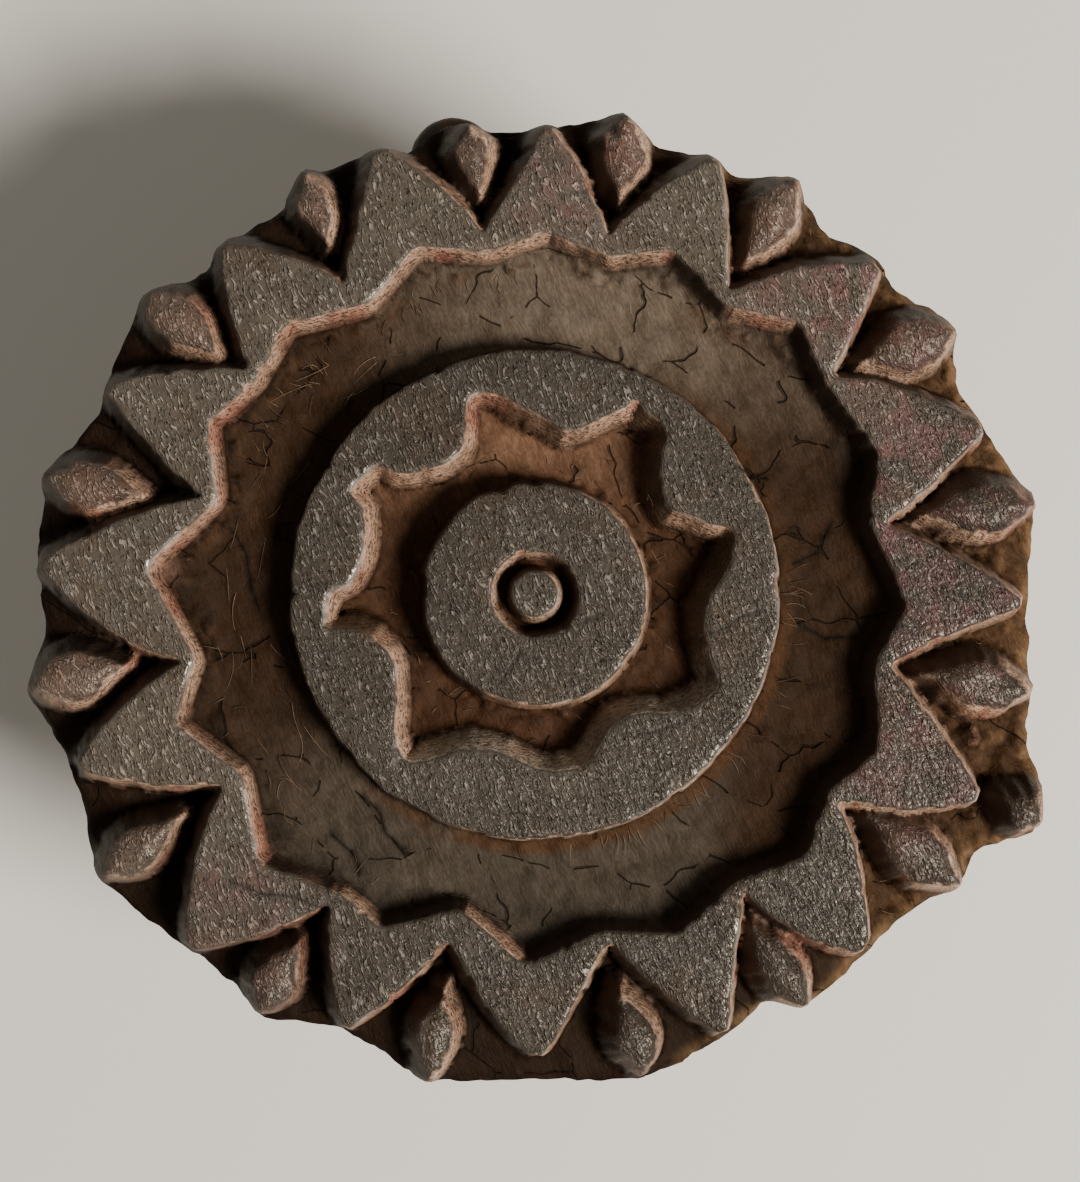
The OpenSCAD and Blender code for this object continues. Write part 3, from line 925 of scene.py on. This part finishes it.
def disc_material():
    m = Nodes("disc_wood")
    tone = m.attribute("tone")
    top, wall, floor = m.split(m.attribute("kind"))[:3]
    shine = m.split(m.attribute("shine"))[0]
    turn = (0, 0, -GRAIN)
    # open-pored side grain: short raised strokes that run along the grain
    flow = m.warp(m.coords(turn), 0.5, 1.0)
    ridges = m.noise(m.scaled(flow, (0.85, 3.9, 3.6)), 1.0, 0.6, 0.5)
    grains = m.voronoi(m.scaled(flow, (0.62, 2.7, 2.5)))
    speck = m.noise(m.coords(scale=(2.2, 2.2, 2.2)), 1.0, 2.5, 0.6)
    cloud = m.noise(m.coords(scale=(0.30, 0.30, 0.30)), 1.0, 1.0, 0.55)
    stroke = m.math("MAXIMUM", m.ramp(ridges, 0.52, 0.68), m.mul(m.ramp(grains, 0.36, 0.16), 0.85))
    stroke = m.mul(stroke, m.ramp(speck, 0.34, 0.52, 0.35, 1.0))
    pore = m.mul(m.ramp(m.voronoi(m.scaled(flow, (0.9, 3.9, 3.4))), 0.30, 0.10), m.rest(stroke))
    fibre = m.noise(m.coords(turn, (0.14, 1.3, 1.3)), 1.0, 2.0, 0.6)
    bent = m.warp(m.coords((0, 0, 0.4), (0.10, 0.15, 0.13)), 2.6, 0.22)
    crack_d = m.voronoi(bent, 1.0, "DISTANCE_TO_EDGE")
    crack = m.mul(m.ramp(crack_d, 0.003, 0.015, 1.0, 0.0), m.mul(floor, m.ramp(cloud, 0.49, 0.53)))
    bright = m.mix(1.0, m.tint(tone, (3.8, 3.9, 4.0, 1)), (0.085, 0.084, 0.080, 1), "ADD")
    pale = m.mix(m.mul(stroke, m.mul(top, 0.50)), tone, bright)
    dark = m.mix(m.mul(pore, m.mad(top, 0.45, 0.12)), pale, (0.006, 0.004, 0.003, 1))
    streak = m.mix(m.ramp(fibre, 0.35, 0.75, 0.0, 0.45), dark, m.tint(dark, (0.55, 0.48, 0.42, 1)))
    shade = m.mix(m.ramp(speck, 0.38, 0.68, 0.0, 0.35), streak, m.tint(streak, (1.6, 1.45, 1.3, 1)))
    grime = m.mix(m.ramp(cloud, 0.35, 0.7, 0.0, 0.35), shade, m.tint(shade, (0.6, 0.55, 0.5, 1)))
    brushed = m.mul(m.ramp(ridges, 0.62, 0.36, 0.0, 0.6), m.rest(top))
    grime = m.mix(brushed, grime, m.tint(grime, (0.62, 0.58, 0.54, 1)))
    pits = m.mul(m.ramp(speck, 0.47, 0.40), wall)
    grime = m.mix(m.mul(pits, 0.75), grime, (0.02, 0.010, 0.006, 1))
    colour = m.mix(m.mul(crack, 0.7), grime, (0.006, 0.004, 0.003, 1))
    # painted highlight: the base colour turns pale along the shine band
    glint = m.mul(m.mul(shine, shine), 0.35)
    colour = m.mix(glint, colour, (0.42, 0.38, 0.33, 1))
    m.set("Base Color", colour)
    rough = m.mad(speck, 0.24, 0.18)
    rough = m.math("ADD", rough, m.mul(m.rest(top), 0.36), clamp=True)
    rough = m.mad(shine, -0.36, rough)
    m.set("Roughness", rough)
    gloss = m.mad(shine, 0.30, m.mad(floor, -0.30, 0.38))
    m.set("Specular IOR Level", gloss)
    m.set("Specular Tint", (1.0, 0.90, 0.76, 1))
    # relief in mm, as one height
    height = m.mul(m.mad(pore, -0.6, stroke), m.mad(top, 0.22, 0.03))
    height = m.mad(fibre, m.mad(wall, 0.16, 0.08), height)
    height = m.mad(speck, m.mad(wall, 0.26, 0.07), height)
    height = m.mad(crack, -0.25, height)
    height = m.mul(height, m.mad(shine, -0.85, 1.0))
    m.set("Normal", m.bump(height))
    return m.mat


def plain_material(name, colour, rough):
    m = Nodes(name)
    m.set("Base Color", (*colour, 1))
    m.set("Roughness", rough)
    return m.mat


# ---- build the disc
for o in list(bpy.data.objects):
    if o.name in ("Cube", "Light", "Camera"):
        bpy.data.objects.remove(o)

d_verts, d_faces, d_info, n_top = make_disc()
f_verts, f_faces = make_fibres()
n_solid = len(d_verts)
d_faces = d_faces + [tuple(i + n_solid for i in f) for f in f_faces]
d_verts = np.concatenate([d_verts, f_verts])
disc_obj = new_mesh("carved_disc", d_verts, d_faces, disc_material(), "stamp")
tone_t, kind_t, shine_t = paint_face(d_verts[:n_top], d_info)
tone_s, kind_s = paint_side(d_verts[n_top:n_solid])
hue = noise2(f_verts[:, 0], f_verts[:, 1], 2.0, 161)
tone_f = mix(lin(112, 92, 72), lin(62, 45, 33), step(hue, -0.2, 0.6))
set_colours(disc_obj, "tone", np.concatenate([tone_t, tone_s, tone_f]))
set_colours(disc_obj, "kind", np.concatenate([kind_t, kind_s, np.zeros((len(f_verts), 3))]))
set_colours(disc_obj, "shine", np.concatenate([shine_t, np.zeros((len(d_verts) - n_top, 3))]))
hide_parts("print_disc")

# ---- turned and bent pieces
def sweep(rings):
    """A closed solid from rings of points, each ring the same length, with the two ends closed."""
    n = len(rings[0])
    verts = np.concatenate([*rings, [rings[0].mean(0)], [rings[-1].mean(0)]])
    faces = []
    for k in range(len(rings) - 1):
        a, b = k * n, (k + 1) * n
        faces += [(a + i, a + (i + 1) % n, b + (i + 1) % n, b + i) for i in range(n)]
    first, last = len(verts) - 2, len(verts) - 1
    top = (len(rings) - 1) * n
    faces += [(first, (i + 1) % n, i) for i in range(n)]
    faces += [(last, top + i, top + (i + 1) % n) for i in range(n)]
    return verts, faces


def along(profile, gap):
    """Points at an even spacing along an open line."""
    p = np.array(profile, float)
    s = np.concatenate([[0], np.cumsum(np.hypot(*np.diff(p, axis=0).T))])
    at = np.unique(np.concatenate([np.linspace(0, s[-1], int(s[-1] / gap)), s]))
    return np.stack([np.interp(at, s, p[:, 0]), np.interp(at, s, p[:, 1])], 1)


def make_handle():
    """The turned handle: foot, slim neck, shoulder, and the tenon that goes up into the boss."""
    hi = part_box("handle")[1]
    foot_r, end_z = hi.x / MM, hi.z / MM
    shoulder_z, neck_r, shoulder_r, tenon_r = BOSS_Z, 9.5, 15.5, 8.0
    # radius and height, mm, from the middle of the foot to the top of the tenon
    outline = [(0.4, 0.5), (6, 0.45), (12, 0.25), (16.5, 0.02), (foot_r - 2.2, 0),
               (foot_r - 1.0, 0.3), (foot_r - 0.3, 0.9), (foot_r, 1.9), (foot_r, 4.6),
               (foot_r - 0.25, 5.5), (foot_r - 1, 6.5), (foot_r - 2, 7.1)]
    for k in range(13):
        t = k / 12
        outline.append((neck_r + (foot_r - 3 - neck_r) * (1 - t) ** 2, 7.6 + 12.4 * t))
    for k in range(1, 17):
        t = k / 16
        swell = (shoulder_r - 1 - neck_r) * (1 - math.cos(math.pi * t)) / 2
        outline.append((neck_r + swell, 20 + 24 * t))
    outline += [(shoulder_r - 0.2, 45.1), (shoulder_r, 45.9), (shoulder_r, shoulder_z - 0.9),
                (shoulder_r - 0.4, shoulder_z - 0.25), (shoulder_r - 1.1, shoulder_z - 0.02),
                (tenon_r + 0.1, shoulder_z - 0.02), (tenon_r, shoulder_z + 0.1),
                (tenon_r, end_z - 0.8), (tenon_r - 0.8, end_z), (0.4, end_z)]
    n = 150
    a = spread(n)
    rings = []
    for r, z in along(outline, 0.55):
        rr = np.full(n, r)
        if r > 8.6 and 0.6 < z < shoulder_z - 0.3:
            zz = np.full(n, z)
            rr = rr + 0.035 * math.sin(z * 6.1 + 0.7 * math.sin(z * 0.9))
            rr = rr + 0.10 * noise2(np.cos(a) * 12 + 30, np.sin(a) * 12 + z * 0.5, 5.0, 131)
            rr = rr + 0.10 * np.cos(2 * a + 0.6)
            rr = rr - 0.35 * np.maximum(noise2(a * r, zz, 4.5, 133) - 0.62, 0)
            if z < 7.2:            # knocks on the foot's edge
                rr = rr - 0.9 * np.maximum(noise2(a * r, zz * 0.5, 3.2, 135) - 0.5, 0)
        rings.append(np.column_stack([np.cos(a) * rr, np.sin(a) * rr, np.full(n, z)]))
    return sweep(rings)


def make_peg():
    """The cross peg, whittled not quite round, its ends a little proud and domed by wear."""
    n = 56
    a = spread(n)
    end = PEG_END + 0.45
    shape = PEG_R * (0.985 + 0.012 * np.cos(7 * a + 0.4) + 0.010 * np.cos(3 * a + 1.0))
    line = [(-end, 0.3), (-end + 0.03, 0.7), (-end + 0.12, 0.86), (-end + 0.30, 0.96),
            (-end + 0.6, 1.0)]
    line += [(x, 1.0) for x in np.linspace(-end + 1.6, end - 1.6, 28)]
    line += [(-x, k) for x, k in line[4::-1]]
    rings = []
    for x, k in line:
        bump = 0.05 * noise2(a * 2.2, np.full(n, x * 0.4), 1.2, 141)
        rr = (shape + bump) * k
        dent = 0.06 * noise2(np.cos(a) * rr + 9, np.sin(a) * rr + x, 0.9, 143)
        xs = np.full(n, x) + dent * (k < 1)
        rings.append(np.column_stack([xs, np.cos(a) * rr, PEG_Z + np.sin(a) * rr]))
    return sweep(rings)


def make_eye():
    """The hanging eye: one wire, straight in the wood, then bent round until it nears the shank."""
    lo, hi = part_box("hanging_eye")
    out = np.array([math.cos(EYE_DIR), math.sin(EYE_DIR), 0.0])
    side = np.array([-out[1], out[0], 0.0])
    z = 0.5 * (lo.z + hi.z) / MM
    wire = 0.5 * (hi.z - lo.z) / MM
    bend = 1.6                                   # radius of the bend between shank and eye
    start = math.sqrt(EYE_R ** 2 + 2 * EYE_R * bend)
    path = [(u, 0.0) for u in np.linspace(-EYE_SHANK, -start - 0.2, 26)]
    meet = math.atan2(bend, start)
    for t in np.linspace(0, math.pi / 2 - meet, 9):
        path.append((-start + bend * math.sin(t), -bend + bend * math.cos(t)))
    for t in np.linspace(math.pi + meet, 2 * math.pi + WIRE_END, 76)[1:]:
        squash = 1 + 0.012 * math.sin(2 * t + 0.5)
        path.append((EYE_R * squash * math.cos(t), EYE_R * squash * math.sin(t)))
    path = np.array(path)
    way = np.gradient(path, axis=0)
    way /= np.hypot(way[:, 0], way[:, 1])[:, None]
    n = 22
    a = spread(n)
    rings = []
    last = len(path) - 1
    for k, ((u, v), (du, dv)) in enumerate(zip(path, way)):
        size = wire * (0.995 + 0.010 * math.sin(k * 0.9) + 0.008 * math.sin(k * 2.3))
        if k in (0, last):
            size *= 0.72                         # bevelled ends
        if k == last - 1:
            u, v = path[last] - way[last] * 0.18
        if k == 1:
            size *= 0.98
        rr = size * (1 + 0.012 * noise2(a * 2.0, np.full(n, k * 0.4), 1.0, 151))
        p = (u + dv * np.cos(a) * rr)[:, None] * out + (v - du * np.cos(a) * rr)[:, None] * side
        p = p + EYE_OUT * out
        p[:, 2] = z + np.sin(a) * rr
        rings.append(p)
    return sweep(rings)


def old_wood(name, along_axis, base, dark, pale):
    """Brown wood worn by hands: grain along one axis, pores and patches of darker grime."""
    m = Nodes(name)
    long = [1.4, 1.4, 1.4]
    long[along_axis] = 0.10
    hair = [3.2, 3.2, 3.2]
    hair[along_axis] = 0.22
    plain = m.coords()
    flow = m.warp(plain, 0.12, 0.9)
    bands = m.noise(m.scaled(flow, [0.5 * k for k in long]), 1.0, 5.0, 0.6, 0.8)
    lines = m.noise(m.scaled(flow, long), 1.0, 4.0, 0.65, 0.3)
    pores = m.ramp(m.voronoi(m.scaled(flow, hair)), 0.26, 0.10)
    cloud = m.noise(m.scaled(plain, (0.14, 0.14, 0.14)), 1.0, 4.0, 0.6)
    speck = m.noise(m.scaled(plain, (2.4, 2.4, 2.4)), 1.0, 3.0, 0.6)
    c = m.mix(m.ramp(bands, 0.35, 0.68), dark, base)
    c = m.mix(m.ramp(lines, 0.56, 0.80, 0.0, 0.6), c, pale)
    c = m.mix(m.mul(pores, 0.7), c, (0.010, 0.006, 0.004, 1))
    c = m.mix(m.ramp(cloud, 0.42, 0.66, 0.0, 0.65), c, m.tint(c, (0.35, 0.30, 0.26, 1)))
    c = m.mix(m.ramp(speck, 0.60, 0.74, 0.0, 0.25), c, pale)
    m.set("Base Color", c)
    m.set("Roughness", m.mad(cloud, 0.35, 0.30))
    m.set("Specular IOR Level", 0.4)
    height = m.mad(pores, -0.10, m.mad(lines, 0.10, m.mul(speck, 0.05)))
    m.set("Normal", m.bump(height))
    return m.mat


def old_wire():
    """Dull oxidised steel wire: grey-green skin, patches of rust, rubbed brighter in places."""
    m = Nodes("old_wire")
    plain = m.coords()
    patch = m.noise(m.scaled(plain, (0.55, 0.55, 0.55)), 1.0, 5.0, 0.65, 0.5)
    fine = m.noise(m.scaled(plain, (3.5, 3.5, 3.5)), 1.0, 4.0, 0.6)
    pits = m.ramp(m.voronoi(m.scaled(plain, (2.6, 2.6, 2.6))), 0.22, 0.06)
    c = m.mix(m.ramp(patch, 0.46, 0.62), (0.060, 0.062, 0.050, 1), (0.085, 0.040, 0.020, 1))
    c = m.mix(m.ramp(patch, 0.40, 0.30, 0.0, 0.7), c, (0.22, 0.215, 0.19, 1))
    c = m.mix(m.ramp(fine, 0.45, 0.70, 0.0, 0.5), c, m.tint(c, (0.5, 0.45, 0.4, 1)))
    c = m.mix(m.mul(pits, 0.6), c, (0.02, 0.012, 0.008, 1))
    m.set("Base Color", c)
    m.set("Metallic", m.ramp(patch, 0.60, 0.42, 0.15, 0.85))
    m.set("Roughness", m.mad(fine, 0.30, m.ramp(patch, 0.35, 0.6, 0.30, 0.50)))
    height = m.mad(pits, -0.04, m.mul(fine, 0.04))
    m.set("Normal", m.bump(height))
    return m.mat


EYE_DIR = math.radians(100.4)     # direction of the eye, as in the CAD
EYE_OUT, EYE_R = 47.4, 3.65       # distance of its centre from the axis, and its radius, mm
EYE_SHANK = EYE_OUT - 39.5 + 15   # how far back the shank reaches from the eye's centre
WIRE_END = math.radians(149)      # where the bent wire ends, near the shank

handle_obj = new_mesh("turned_handle", *make_handle(),
                      old_wood("handle_grain", 2, (0.150, 0.072, 0.032, 1),
                               (0.052, 0.024, 0.012, 1), (0.26, 0.15, 0.08, 1)), "stamp")
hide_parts("handle")
peg_obj = new_mesh("whittled_peg", *make_peg(),
                   old_wood("peg_grain", 0, (0.24, 0.13, 0.06, 1), (0.10, 0.048, 0.022, 1),
                            (0.36, 0.23, 0.13, 1)), "stamp")
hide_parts("cross_peg")
eye_obj = new_mesh("bent_eye", *make_eye(), old_wire(), "eye")
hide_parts("hanging_eye")

# ---- floor, light and camera
floor_me = bpy.data.meshes.new("floor")
HALF = 3.5                       # half the floor's side, m
floor_me.from_pydata([(-HALF, -HALF, 0), (HALF, -HALF, 0), (HALF, HALF, 0), (-HALF, HALF, 0)], [],
                     [(0, 1, 2, 3)])
floor_obj = place("floor", floor_me)
floor_me.materials.append(plain_material("floor_plain", (0.635, 0.605, 0.545), 0.6))

LIGHT_EL, LIGHT_DIST = math.radians(57), 0.95
key_data = bpy.data.lights.new("key", "AREA")
key_data.shape = "DISK"
key_data.size = 0.26
key_data.energy = 19.0
key_data.color = (1.0, 0.965, 0.92)
key = place("key", key_data)
toward = Vector((math.cos(LIGHT_EL) * math.cos(LIGHT_AZ), math.cos(LIGHT_EL) * math.sin(LIGHT_AZ),
                 math.sin(LIGHT_EL)))
face_centre = Vector((0, 0, FACE_Z * MM))
key.location = face_centre + toward * LIGHT_DIST
key.rotation_mode = "QUATERNION"
key.rotation_quaternion = toward.to_track_quat("Z", "Y")

world = bpy.data.worlds.new("world")
bpy.context.scene.world = world
world.use_nodes = True
sky = world.node_tree.nodes["Background"].inputs
sky[0].default_value = (1.0, 0.965, 0.89, 1)
sky[1].default_value = 0.27

cam_data = bpy.data.cameras.new("camera")
cam = place("camera", cam_data)
CAM_HEIGHT = 300                 # above the face, mm
VIEW_SPAN = 118.2                # long side of the picture on the plane of the face, mm
cam_data.sensor_width = 36
cam_data.lens = 36 * CAM_HEIGHT / VIEW_SPAN
cam.location = face_centre + Vector((-1.5 * MM, -5.6 * MM, CAM_HEIGHT * MM))
back = (cam.location - face_centre - Vector((0.5 * MM, 0.3 * MM, 0))).normalized()
right = Vector((0, 1, 0)).cross(back).normalized()
cam.rotation_mode = "QUATERNION"
cam.rotation_quaternion = Matrix((right, back.cross(right), back)).transposed().to_quaternion()
bpy.context.scene.camera = cam
